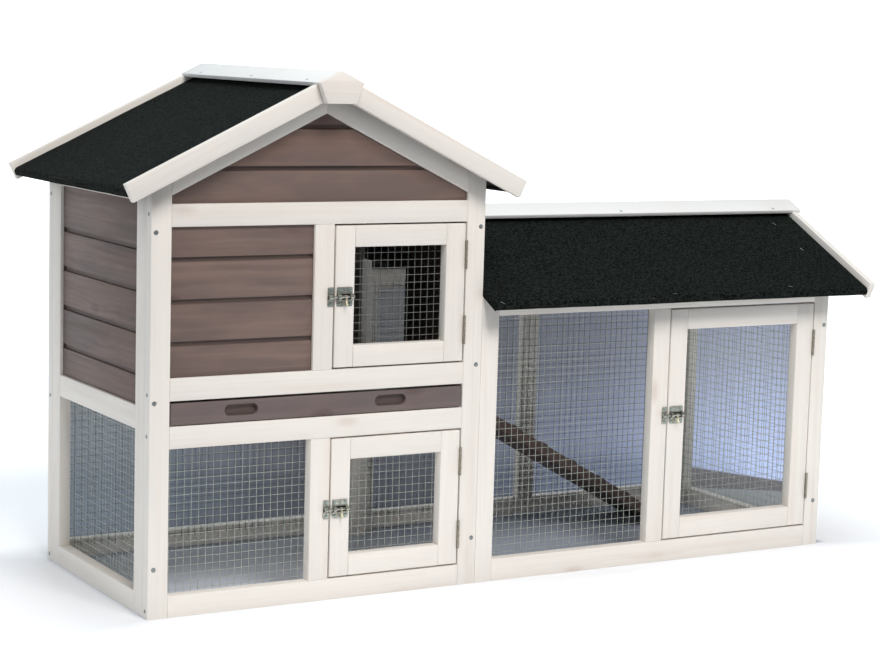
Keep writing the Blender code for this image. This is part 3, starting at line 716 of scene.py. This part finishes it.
def felt(name, ridge, slope, span, normal, flap=False):
    """A felt sheet bent over the ridge and turned round and under both eaves, never quite flat.
    A flap closes the end at span[0]."""
    inner, outer = ROOF_BOARD + GAP, ROOF_BOARD + GAP + FELT
    edge = slope - FELT
    half = [(edge, inner, 0.0045), (edge, -GAP, 0.0012), (edge - FELT_LIP, -GAP, 0),
            (edge - FELT_LIP, -GAP - FELT, 0), (slope, -GAP - FELT, 0.0030), (slope, outer, 0.0075)]
    right, left = ([(on_slope(ridge, side, s, h), radius) for s, h, radius in half] for side in (1, -1))
    corners = [((ridge[0], ridge[1] + inner / COS), 0), *right,
               ((ridge[0], ridge[1] + outer / COS), 0.004), *left[::-1]]
    outline = fine(rounded([corner for corner, _ in corners], [radius for _, radius in corners]))
    shape = Shape()
    stations = math.ceil((span[1] - span[0]) / 0.022)
    rings = []
    for station in range(stations + 1):
        along = span[0] + (span[1] - span[0]) * station / stations
        ring = []
        for across, up in outline:
            lift = 0.0007 * noise.noise((across * 9, up * 3, along * 8))
            lift += 0.0004 * noise.noise((across * 30, up * 9 + 5, along * 26))
            side = 1 if across > ridge[0] else -1
            across, up = across + side * lift * SIN, up + lift * COS
            ring.append(shape.mesh.verts.new(AT[normal](across, up, along)))
        rings.append(ring)
    shape.skin(rings)
    bmesh.ops.recalc_face_normals(shape.mesh, faces=shape.mesh.faces)
    if flap:
        for side in (-1, 1):
            shape.board(half_layer(ridge, side, (-GAP - FELT, outer), slope),
                        (span[0] - 0.0012, span[0] - 0.0001), normal, ALONG_Y, 0.0)
    shape.piece(f"{name}_sheet", GRIT, "root", "roofing_felt", [name], 50)


def half_layer(ridge, side, h, end):
    """One straight layer of a slope, mitred at the ridge."""
    start = GAP / 2 / COS
    return [on_slope(ridge, side, s, level) for s, level in
            ((start - h[0] * TAN, h[0]), (end, h[0]), (end, h[1]), (start - h[1] * TAN, h[1]))]


def barge(name, node, ridge, slope, side, reach, normal):
    """A barge board, notched under the ridge cap."""
    low, high = BARGE_H
    start, notch = GAP / 2 / COS, CAP_S + GAP
    outline = [on_slope(ridge, side, s, level) for s, level in
               ((start - low * TAN, low), (slope, low), (slope, high), (notch, high),
                (notch, BARGE_NOTCH), (start - BARGE_NOTCH * TAN, BARGE_NOTCH))]
    shape = Shape()
    shape.board(outline, reach, normal, Vector(AT[normal](side * COS, -SIN, 0)), 0.0011)
    shape.timber(name, node)


def roofs():
    """Felt, barge boards, ridge caps, and the block that closes the house cap's front end."""
    inner = (HOUSE_ROOF[0] + BARGE + GAP, HOUSE_ROOF[1] - BARGE - GAP)
    felt("house_felt", HOUSE_RIDGE, HOUSE_SLOPE, inner, "Y")
    inner = (RUN_ROOF[0], RUN_ROOF[1] - BARGE - GAP)
    felt("run_felt", RUN_RIDGE, RUN_SLOPE, inner, "X", True)
    for end, reach in zip(("front", "rear"), edges(HOUSE_ROOF, BARGE)):
        for side, name in ((-1, "left"), (1, "right")):
            barge(f"house_bargeboard_{end}_{name}", f"house_barge_{end}_{name}", HOUSE_RIDGE,
                  HOUSE_SLOPE, side, reach, "Y")
    for side, name in ((-1, "front"), (1, "rear")):
        barge(f"run_bargeboard_{name}", f"run_barge_end_{name}", RUN_RIDGE, RUN_SLOPE, side,
              edges(RUN_ROOF, BARGE)[1], "X")
    for name, ridge, span, normal in (("house", HOUSE_RIDGE, HOUSE_ROOF, "Y"),
                                      ("run", RUN_RIDGE, (RUN_ROOF[0], RUN_CAP_END), "X")):
        shape = Shape()
        for side in (-1, 1):
            shape.board(half_layer(ridge, side, CAP_H, CAP_S), span, normal,
                        ALONG_Y if normal == "Y" else ALONG_X, 0.0010)
        shape.timber(f"{name}_cap_boards", f"{name}_ridge_cap", look=TOP_LIT_CAP_WHITE)
    shape = Shape()
    apex = HOUSE_RIDGE[1] + CAP_H[1] / COS
    shoulder = on_slope(HOUSE_RIDGE, 1, CAP_S, CAP_H[1])
    middle, (half, foot) = HOUSE_RIDGE[0], BLOCK_FOOT
    block = [(middle - half, foot), (middle + half, foot), shoulder, (middle, apex),
             (2 * middle - shoulder[0], shoulder[1])]
    shape.board(block, (BLOCK_FRONT, HOUSE_ROOF[0] - GAP), "Y", ALONG_X, 0.0012)
    shape.timber("ridge_block", "ridge_end_block")


# ---------- doors
def facing(start, ahead):
    """Turns Z to face ahead, and moves to start."""
    return Matrix.Translation(start) @ Vector(ahead).to_track_quat("Z", "Y").to_matrix().to_4x4()


def screw(shape, centre, out, radius=0.0040, proud=0.0006):
    """A domed screw head with a cross recess, facing out."""
    spin = Matrix.Rotation(dice.uniform(0, math.pi / 2), 4, "Z")
    profile = [(radius, -0.0004), (radius, proud * 0.3), (radius * 0.80, proud),
               (radius * 0.52, proud * 1.15), (radius * 0.46, proud * 1.1), (radius * 0.22, -0.0003)]
    shape.turned(profile, facing(centre, out) @ spin, 16, (2, 0.42))


def strap(shape, x, height):
    """A raised strap over the bolt: an arch of plate."""
    arch = []
    for radius, back in ((0.0042, -0.0016), (0.0031, -0.0004)):
        bow = [polar(radius, angle) for angle in range(0, 181, 20)]
        arch.append([(0.0062, back), *((a, ROD_Y - b) for a, b in bow), (-0.0062, back)])
    (ao, ai), (bo, bi) = [[[shape.mesh.verts.new((level, y, height + z)) for z, y in ring]
                           for ring in arch] for level in x]
    last = len(ao) - 1
    for i in range(last):
        for a, b in ((ao, bo), (bi, ai), (ai, ao), (bo, bi)):
            shape.mesh.faces.new((a[i], a[i + 1], b[i + 1], b[i]))
    for i in (0, last):
        shape.mesh.faces.new((ao[i], ai[i], bi[i], bo[i]))


def plate(shape, heads, x, height, screws):
    """A latch plate with softened corners, the shoulders of its raised barrel, and its screws."""
    outline = rounded(rect(x, grown((height, height), LATCH_H / 2)), [0.0018] * 4, 3)
    shape.board([tuple(point) for point in outline], (-0.0015, -GAP), "Y", ALONG_X, 0.0)
    for up in (-0.0054, 0.0054):
        shape.tube([(level, -0.0019, height + up) for level in grown(x, -0.0008)], 0.0012, 10)
    for sx, sz in screws:
        screw(heads, (sx, -0.0015, height + sz), (0, -1, 0), 0.0027, 0.0012)


def latch(name, doorway, height):
    """A barrel bolt: a keeper on the post, a plate on the door, and the bolt with its brass finger."""
    edge = doorway[0] + PLAY
    keeper, heads = Shape(), Shape()
    x = (doorway[0] - KEEPER_W, doorway[0])
    plate(keeper, heads, x, height, [(sum(x) / 2, up) for up in LATCH_SCREWS])
    strap(keeper, edges(x, STRAP_W)[0], height)
    keeper.fitting(f"{name}_keeper_plate", ZINC, node=f"{name}_keeper", angle=30)
    heads.fitting(f"{name}_keeper_screws", LATCH_SCREW)
    shape, heads = Shape(), Shape()
    x = (edge + LATCH_SPAN[0], edge + LATCH_SPAN[1])
    corners = [(x[0] + across, up) for across in (0.0045, 0.0240) for up in LATCH_SCREWS]
    plate(shape, heads, x, height, corners)
    for end in edges(x, STRAP_W):
        strap(shape, end, height)
    shape.fitting(f"{name}_latch_body", ZINC, f"{name}_door", f"{name}_latch_plate", 30)
    heads.fitting(f"{name}_latch_screws", LATCH_SCREW, f"{name}_door")
    # A dark inlay stands in for the plate's open window: painted shadow, with no hole behind it.
    window_shadow = Shape()
    outline = rect((x[0] + 0.0040, x[1] - 0.0030), grown((height, height), 0.0042))
    window_shadow.board(outline, (-0.0018, -0.0010), "Y", ALONG_X, 0.0)
    window_shadow.fitting(f"{name}_latch_painted_shadow", LATCH_SHADOW, f"{name}_door", angle=30)
    rod = Shape()
    length = x[1] + PLAY - doorway[0] + SHOT
    start = Vector((doorway[0] - SHOT, ROD_Y, height))
    profile = [(0.0012, 0), (0.0023, 0.0012), (0.0023, length - 0.0006), (0.0018, length)]
    rod.turned(profile, facing(start, ALONG_X))
    rod.fitting(f"{name}_bolt_rod", ZINC, f"{name}_bolt", f"{name}_bolt")
    finger = Shape()
    ball = [polar(0.0026, angle) for angle in range(35, 171, 15)]
    profile = [(0.0014, -0.0024), (0.0020, 0.0), (0.0020, 0.0030), (0.0017, 0.0058),
               *((out, 0.0124 - along) for along, out in ball)]
    root = Vector((edge + FINGER, ROD_Y, height))
    finger.turned(profile, facing(root, Vector((0, -0.0026, -0.0118))), 14)
    finger.fitting(f"{name}_bolt_finger", BRASS, f"{name}_bolt", angle=50)


def hinge(name, door, doorway, height):
    """A butt hinge: knuckles on a pin, and the leaf in the gap."""
    x, z = doorway[1] - PLAY / 2, grown((height, height), HINGE_LENGTH / 2)
    shape = Shape()
    shape.tube([(x, PIN_Y, end) for end in grown(z, 0.0003)], 0.0013, 10)
    length = HINGE_LENGTH / KNUCKLES
    for number in range(KNUCKLES):
        low, high = z[0] + number * length, z[0] + (number + 1) * length
        profile = [(0.0018, low + 0.0002), (0.0022, low + 0.0006), (0.0022, high - 0.0006),
                   (0.0018, high - 0.0002)]
        shape.turned(profile, Matrix.Translation((x, PIN_Y, 0)), 14)
    shape.board(rect(grown((x, x), 0.0007), grown(z, -0.001)), (PIN_Y, 0.014), "Y", ALONG_Z, 0.0)
    shape.fitting(f"{name}_steel", HINGE, f"{door}_door", name)


def door(name, doorway, z, rail, latch_height, hinge_heights, wire=WIRE):
    """An inset mesh door: full-height stiles, rails between them, and wire behind."""
    left, right = doorway[0] + PLAY, doorway[1] - PLAY
    bottom, top = z[0] + PLAY, z[1] - PLAY
    shape = Shape()
    z = grown((bottom, top), -DOOR_GAP)
    for x in ((left + DOOR_GAP, left + rail), (right - rail, right)):
        shape.board(rect(x, z), (0, BOARD), "Y", ALONG_Z, 0.0013)
    for level in ((z[0], bottom + rail), (top - rail, z[1])):
        across = (left + rail + SEAM, right - rail - SEAM)
        shape.board(rect(across, level), (0, BOARD), "Y", ALONG_X, 0.0009)
    shape.timber(f"{name}_door_timber", f"{name}_door_frame", f"{name}_door")
    wires(f"{name}_door", (left + rail, right - rail), (bottom + rail, top - rail), BOARD, -1, "Y",
          wire, f"{name}_door")
    for end, height in zip(("bottom", "top"), hinge_heights):
        hinge(f"{name}_hinge_{end}", name, doorway, height)
    latch(name, doorway, latch_height)


def doors():
    door("lower", DOORWAY, (SILL, LOWER_TOP), 0.036, 0.152, (0.0885, 0.2145))
    door("upper", DOORWAY, (UPPER_SILL, UPPER_TOP), 0.036, 0.502, (0.4385, 0.565), SHADE_WIRE)
    door("run", RUN_DOORWAY, (RUN_SILL, RUN_TOP[0]), 0.037, 0.267, (0.114, 0.3835))


# ---------- tray, ramp and small fittings
def outline_plate(name, loops, thickness, bevel):
    """A flat plate with holes, as a mesh in the XZ plane, its front face towards -Y."""
    data = bpy.data.curves.new(name, "CURVE")
    data.dimensions = "2D"
    data.fill_mode = "BOTH"
    data.extrude = thickness / 2 - bevel
    data.bevel_depth = bevel
    data.bevel_resolution = 3
    data.offset = -bevel
    for loop in loops:
        line = data.splines.new("POLY")
        line.points.add(len(loop) - 1)
        for point, (across, up) in zip(line.points, loop):
            point.co = (across, up, 0, 1)
        line.use_cyclic_u = True
    made = placed(name, data)
    bpy.context.view_layer.update()
    mesh = bpy.data.meshes.new_from_object(made.evaluated_get(bpy.context.evaluated_depsgraph_get()))
    bpy.data.objects.remove(made)
    mesh.transform(Matrix.Rotation(math.pi / 2, 4, "X"))
    return mesh


def capsule(middle, height, length, width, steps=12):
    """The outline of a slot with round ends."""
    radius = width / 2
    points = []
    for centre, start in ((middle + length / 2 - radius, -90), (middle - length / 2 + radius, 90)):
        for step in range(steps + 1):
            across, up = polar(radius, start + 180 * step / steps)
            points.append((centre + across, height + up))
    return points


def tray():
    """The stained front with its two finger slots, and the sheet pan behind it."""
    x = (STILE + PLAY, DOORWAY[1] - PLAY)
    z = (SLOT[0] + 0.0015, SLOT[1] - 0.0040)
    slots = [capsule(middle, sum(SLOT) / 2, 0.058, 0.018) for middle in GRIPS]
    mesh = outline_plate("tray_face", [rect(x, z), *slots], 0.008, 0.0012)
    mesh.transform(Matrix.Translation((0, 0.005, 0)))
    shape = Shape()
    shape.mesh.from_mesh(mesh)
    shape.grain = shape.mesh.verts.layers.float_vector["grain"]
    shape.tone = shape.mesh.verts.layers.float["tone"]
    bmesh.ops.remove_doubles(shape.mesh, verts=shape.mesh.verts, dist=1e-6)
    shape.mark(shape.mesh.verts, ALONG_X, ALONG_Z)
    shape.board(rect(x, z), (0.0092, 0.016), "Y", ALONG_X, 0.0008)
    shape.piece("tray_front_board", TRAY_STAIN, "tray", "stained_board", ["tray_front"], 35)
    # The slots' pockets take the tongues' dark stain: painted shade in the recesses.
    pocket = Shape()
    for middle in GRIPS:
        outline = rect(grown((middle, middle), 0.030), grown(z, -0.006))
        pocket.board(outline, (0.0085, 0.0092), "Y", ALONG_X, 0.0)
    pocket.piece("tray_grip_pockets", TONGUE_SHADE_STAIN, "tray", "stained_board", (), 30)

    pan = Shape()
    y, z = PAN
    base, rim = edges(z, PAN_WALL)
    for across, back, up in ((x, y, base), *((end, y, z) for end in edges(x, PAN_WALL)),
                             *((x, end, z) for end in edges(y, PAN_WALL)),
                             *((end, y, rim) for end in edges(x, PAN_LIP)),
                             (x, edges(y, PAN_LIP)[1], rim)):
        pan.board(rect(across, back), up, "Z", ALONG_X, 0.0002, 0.0, 1)
    pan.piece("tray_pan_sheet", SHEET, "tray", "galvanised_sheet", ["tray_pan"])


def ramp():
    """The sloping board with its cleats."""
    top, foot = RAMP_TOP, RAMP_FOOT
    ahead = (foot - top).normalized()
    side = [tuple(top), (top.x, top.y - RAMP_THICK / ahead.x),
            (foot.x + RAMP_THICK / ahead.y, foot.y), tuple(foot)]
    shape = Shape()
    shape.board(side, RAMP_Y, "Y", Vector((ahead.x, 0, ahead.y)), 0.0010)
    square = Vector((-ahead.y, ahead.x))
    for number in range(CLEATS):
        middle = top.lerp(foot, (number + 0.7) / (CLEATS + 0.4))
        corners = [middle + ahead * a * 0.006 + square * h for a, h in
                   ((-1, -0.002), (1, -0.002), (1, 0.004), (-1, 0.004))]
        shape.board([tuple(corner) for corner in corners], grown(RAMP_Y, -0.014), "Y", ALONG_Y,
                    0.0007)
    shape.piece("ramp_board", RAMP_STAIN, "ramp", "stained_board", ["ramp"])


def fixings():
    """Screws in the frames, and staples and nails in the roofs."""
    shape = Shape()
    front = ((0.008, 0.612), (0.008, 0.345), (0.0095, 0.080), (0.592, 0.611), (0.5905, 0.378),
             (0.5915, 0.080), (1.342, 0.415), (1.337, 0.084))
    for x, z in front:
        screw(shape, (x, 0, z), (0, -1, 0))
        screw(shape, (x, DEPTH, z), (0, 1, 0))
    ends = (0.0105, DEPTH - 0.0105)
    for x, z, columns in ((0, 0.640, ends), (0, 0.3575, ends[:1]), (0, 0.292, ends), (0, 0.012, ends),
                          (RUN_END, 0.440, ends), (RUN_END, 0.250, ends), (RUN_END, 0.020, ends)):
        for y in columns:
            screw(shape, (x, y, z), (1 if x else -1, 0, 0), 0.0034)
    shape.fitting("frame_screws", SCREW)

    staples = Shape()
    top = ROOF_BOARD + GAP + FELT + 0.0004
    for side in (-1, 1):
        for x, down, turn in ((1.349, 0.057, 70), (1.350, 0.151, 80), (1.235, 0.275, 15),
                              (0.972, 0.284, 5), (0.614, 0.290, 60)):
            reach = polar(0.0042, turn)
            ends = [(x + end * reach[0], *on_slope(RUN_RIDGE, side, down + end * reach[1], top))
                    for end in (-1, 1)]
            staples.tube(ends, 0.0005, 5)
    staples.fitting("roof_staples", SCREW, angle=60)

    nails = Shape()
    for ridge, places, normal in ((HOUSE_RIDGE, (0.012, 0.219, 0.425), "Y"),
                                  (RUN_RIDGE, (0.66, 1.01, 1.364), "X")):
        for side in (-1, 1):
            across, up = on_slope(ridge, side, 0.0235, CAP_H[1])
            out = AT[normal](side * SIN, COS, 0)
            for along in places:
                screw(nails, AT[normal](across, up, along), out, 0.0024, 0.0002)
    nails.fitting("cap_screws", SCREW)


def kept_boards():
    """The plain roof boards and the floor keep their CAD shape and get a board's surface."""
    for name in ("house_roof_left", "house_roof_right", "run_roof_front", "run_roof_rear",
                 "house_floor"):
        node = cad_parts[name]
        node.data.materials.clear()
        node.data.materials.append(PLAIN if name == "house_floor" else ROOFING)


# ---------- studio
def stage_look():
    """A white stage: painted shade under the hutch and on the ground seen through it, dark in front."""
    look = Look("studio_floor", roughness=0.7, specular=0.2)
    place = look.place()
    axes = look.parts(place)

    def measured(direction):
        return look.vector("DOT_PRODUCT", place, direction)["Value"]

    # How far out a point lies: 1 at the edge of the frames' footprint
    scaled = look.stretched(place, (1 / 0.675, 1 / 0.215, 0.0))
    scaled = look.parts(look.vector("ABSOLUTE", scaled)["Vector"])
    away = look.sums("MAXIMUM", scaled["X"], scaled["Y"])
    # Painted shade on the floor under the hutch, darkest under the house.
    inside = look.mix(look.between(axes["X"], -0.12, 0.0), (0.60, 0.65, 0.74), (0.36, 0.40, 0.48))
    tint = look.mix(look.between(away, 1.0, 1.03), inside, (0.87, 0.88, 0.90))

    # Behind the hutch the shade spreads like a fan, from a point well in front of it
    behind = measured((0.50, 0.86, 0.0))
    fan = look.sums("DIVIDE", measured((0.86, -0.50, 0.0)), look.plus(behind, 3.9))
    shade = look.times(look.between(fan, -0.1835, -0.1785), look.between(fan, 0.1695, 0.1625))
    shade = look.times(shade, look.between(behind, 5.2, 4.6))
    past = [look.between(axes["Y"], 0.205, 0.225), look.between(axes["X"], 0.665, 0.672)]
    shade = look.times(shade, look.sums("MAXIMUM", *past))
    # The fan is painted in the colours of a backdrop cloth in shade: painted shade.
    backdrop_shade = look.mix(look.between(fan, -0.17, -0.07), (0.185, 0.202, 0.225), (0.062, 0.060, 0.069))
    backdrop_shade = look.mix(look.between(fan, -0.01, 0.07), backdrop_shade, (0.178, 0.193, 0.258))
    backdrop_shade = look.mix(look.between(fan, 0.07, 0.14), backdrop_shade, (0.50, 0.54, 0.70))
    # Nearer the hutch the patch is painted brighter: painted light against the hutch's own shadow on
    # it.
    near = look.mix(look.between(axes["Y"], 1.9, 0.35), (1.0, 1.0, 1.0), (1.28, 1.38, 1.55))
    backdrop_shade = look.mix(1.0, backdrop_shade, near, "MULTIPLY")

    # A wedge of ground in painted shade behind the run's far end
    ground = look.mix(look.between(measured((1.0, 1.5, 0.0)), 1.195, 1.215), (0.34, 0.355, 0.375),
                      (0.165, 0.150, 0.165))
    edge = look.between(measured((1.0, 0.45, 0.0)), 1.122, 1.104)
    edge = look.times(edge, look.between(fan, 0.094, 0.100))

    lit = look.between(behind, -1.3, -0.9)
    tint = look.mix(lit, (0.16, 0.165, 0.18), tint)
    look.colour(look.mix(shade, tint, look.mix(edge, backdrop_shade, ground)))
    # The floor glows, most far behind the hutch, and rises from none at the footprint's edge: painted
    # light, which leaves painted contact shade round the hutch.
    glow = look.plus(look.between(behind, 0.5, 4.5, 0.0, 0.62),
                     look.between(away, 1.0, 1.6, 0.0, 0.40))
    glow = look.times(look.times(glow, lit), look.sums("SUBTRACT", 1.0, shade))
    look.shader.inputs["Emission Color"].default_value = (0.97, 0.985, 1.0, 1.0)
    look.feed(look.shader.inputs["Emission Strength"], glow)
    return look.material


def stage():
    """A round dish whose rim curves up far behind the hutch."""
    dish = Shape()
    profile = [(15.8, 7.0), (15.6, 3.0), (15.0, 1.3), (14.0, 0.45), (12.8, 0.08), (11.5, 0.0),
               (3.0, 0.0), (0.01, 0.0)]
    dish.turned(profile, Matrix.Identity(4), 64)
    dish.mesh.faces.ensure_lookup_table()
    lid = [face for face in dish.mesh.faces
           if len(face.verts) == 64 and face.calc_center_median().z > 1]
    bmesh.ops.delete(dish.mesh, geom=lid, context="FACES_ONLY")
    data = bpy.data.meshes.new("floor")
    dish.mesh.to_mesh(data)
    dish.mesh.free()
    data.shade_smooth()
    data.materials.append(stage_look())
    floor = placed("floor", data)


def lights():
    world = bpy.data.worlds.new("studio")
    bpy.context.scene.world = world
    world.use_nodes = True
    sky = world.node_tree.nodes["Background"].inputs
    sky["Color"].default_value = (0.90, 0.95, 1.0, 1.0)
    sky["Strength"].default_value = 0.18
    aim = Vector((0, 0.2, 0.4))
    for name, place, size, power, colour in (
            ("key", (-0.5, -3.4, 4.3), (2.2, 1.8), 203, (1.0, 0.955, 0.93)),
            ("fill", (-4.4, -1.6, 1.9), (2.6, 2.6), 42, (0.87, 0.94, 1.0)),
            ("low", (2.5, -2.8, 0.5), (2.4, 0.8), 6, (0.76, 0.89, 1.0)),
            ("top", (0.0, 0.3, 4.4), (3.0, 3.0), 60, (0.74, 0.90, 1.0))):
        light = bpy.data.lights.new(name, "AREA")
        light.shape = "RECTANGLE"
        light.size, light.size_y = size
        light.energy, light.color = power, colour
        lamp = placed(name, light)
        lamp.location = place
        lamp.rotation_mode = "QUATERNION"
        lamp.rotation_quaternion = (aim - Vector(place)).to_track_quat("-Z", "Y")


def camera():
    data = bpy.data.cameras.new("camera")
    data.sensor_width, data.lens = 36.0, 89.94
    data.shift_x, data.shift_y = 0.0005, 0.0042
    data.clip_end = 60
    right, up = (0.864976, -0.501013, 0.028337), (0.043164, 0.130543, 0.990503)
    back = (-0.499953, -0.855538, 0.134542)
    stand = Vector(ORIGIN) + Vector((-1.312380, -3.132300, 0.917740))
    made = placed("camera", data)
    made.matrix_world = Matrix.Translation(stand) @ Matrix((right, up, back)).transposed().to_4x4()
    bpy.context.scene.camera = made
    bpy.context.scene.view_settings.view_transform = "Standard"


house_frames()
run_frames()
all_siding()
all_wires()
roofs()
doors()
tray()
ramp()
fixings()
kept_boards()
stage()
lights()
camera()
